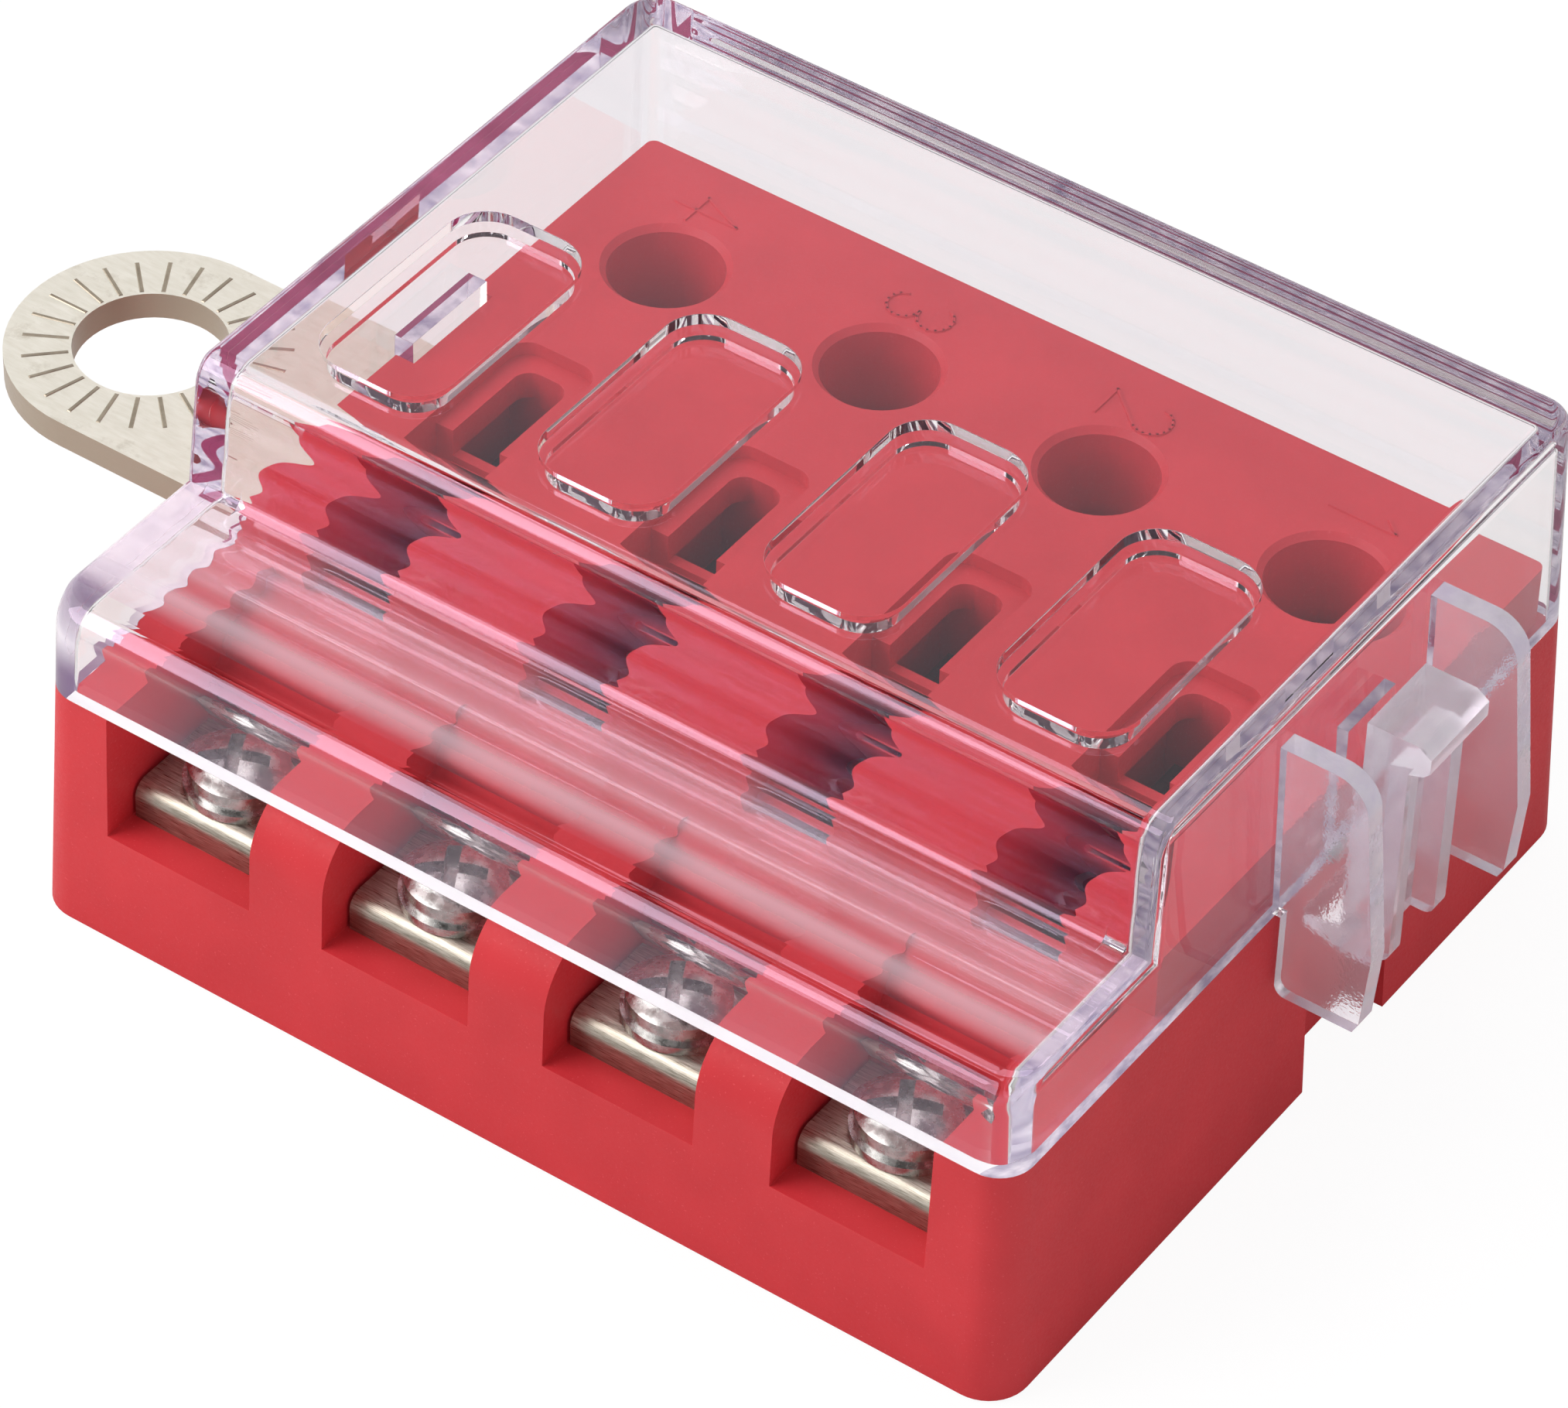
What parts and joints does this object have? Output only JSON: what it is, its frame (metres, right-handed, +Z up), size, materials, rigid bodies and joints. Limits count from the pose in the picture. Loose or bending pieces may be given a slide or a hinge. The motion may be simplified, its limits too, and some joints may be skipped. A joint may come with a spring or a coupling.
{
  "type": "car fuse holder",
  "caption": "Blade fuse block with a red moulded base, stepped clear clip-on cover with a guarded side latch, screw terminals in front and a flat stud tab at the side.",
  "frame": {"origin": "middle of the underside of the base, on the surface that it stands on", "axes": "+X towards the latch and away from the stud tab, +Y away from the wire side, +Z up through the cover"},
  "size_m": [0.1054, 0.0632, 0.0334],
  "materials": {
    "red_plastic": "matte",
    "clear_plastic": "gloss",
    "plated_bar": "satin",
    "plated_clip": "satin",
    "screw_steel": "satin"
  },
  "bodies": {
    "housing": {"base": "red_plastic", "bottom_plate": "red_plastic", "bus_bar": "plated_bar", "line_clip_1": "plated_clip", "line_clip_2": "plated_clip", "line_clip_3": "plated_clip", "line_clip_4": "plated_clip", "load_contact_1": "plated_clip", "load_contact_2": "plated_clip", "load_contact_3": "plated_clip", "load_contact_4": "plated_clip", "bus_screw_1": "screw_steel", "bus_screw_2": "screw_steel", "bus_screw_3": "screw_steel", "bus_screw_4": "screw_steel"},
    "lid": {"cover": "clear_plastic"},
    "washer_1": {"lock_washer_1": "screw_steel"},
    "screw_1": {"terminal_screw_1": "screw_steel"},
    "washer_2": {"lock_washer_2": "screw_steel"},
    "screw_2": {"terminal_screw_2": "screw_steel"},
    "washer_3": {"lock_washer_3": "screw_steel"},
    "screw_3": {"terminal_screw_3": "screw_steel"},
    "washer_4": {"lock_washer_4": "screw_steel"},
    "screw_4": {"terminal_screw_4": "screw_steel"}
  },
  "joints": [
    {"name": "cover_lift", "type": "slide", "parent": "housing", "child": "lid", "axis": [0, 0, 1], "range_m": [0, 0.04]},
    {"name": "screw_rise_1", "type": "slide", "parent": "housing", "child": "washer_1", "axis": [0, 0, 1], "range_m": [0, 0.0035]},
    {"name": "screw_turn_1", "type": "hinge", "parent": "washer_1", "child": "screw_1", "pos_m": [0.0246, -0.0246, 0.0115], "axis": [0, 0, 1], "range_deg": [0, 1810]},
    {"name": "screw_rise_2", "type": "slide", "parent": "housing", "child": "washer_2", "axis": [0, 0, 1], "range_m": [0, 0.0035]},
    {"name": "screw_turn_2", "type": "hinge", "parent": "washer_2", "child": "screw_2", "pos_m": [0.0082, -0.0246, 0.0115], "axis": [0, 0, 1], "range_deg": [0, 1810]},
    {"name": "screw_rise_3", "type": "slide", "parent": "housing", "child": "washer_3", "axis": [0, 0, 1], "range_m": [0, 0.0035]},
    {"name": "screw_turn_3", "type": "hinge", "parent": "washer_3", "child": "screw_3", "pos_m": [-0.0082, -0.0246, 0.0115], "axis": [0, 0, 1], "range_deg": [0, 1810]},
    {"name": "screw_rise_4", "type": "slide", "parent": "housing", "child": "washer_4", "axis": [0, 0, 1], "range_m": [0, 0.0035]},
    {"name": "screw_turn_4", "type": "hinge", "parent": "washer_4", "child": "screw_4", "pos_m": [-0.0246, -0.0246, 0.0115], "axis": [0, 0, 1], "range_deg": [0, 1810]}
  ],
  "couplings": [
    {"joint": "screw_turn_1", "follows": "screw_rise_1", "rad_per_m": 8976},
    {"joint": "screw_turn_2", "follows": "screw_rise_2", "rad_per_m": 8976},
    {"joint": "screw_turn_3", "follows": "screw_rise_3", "rad_per_m": 8976},
    {"joint": "screw_turn_4", "follows": "screw_rise_4", "rad_per_m": 8976}
  ]
}
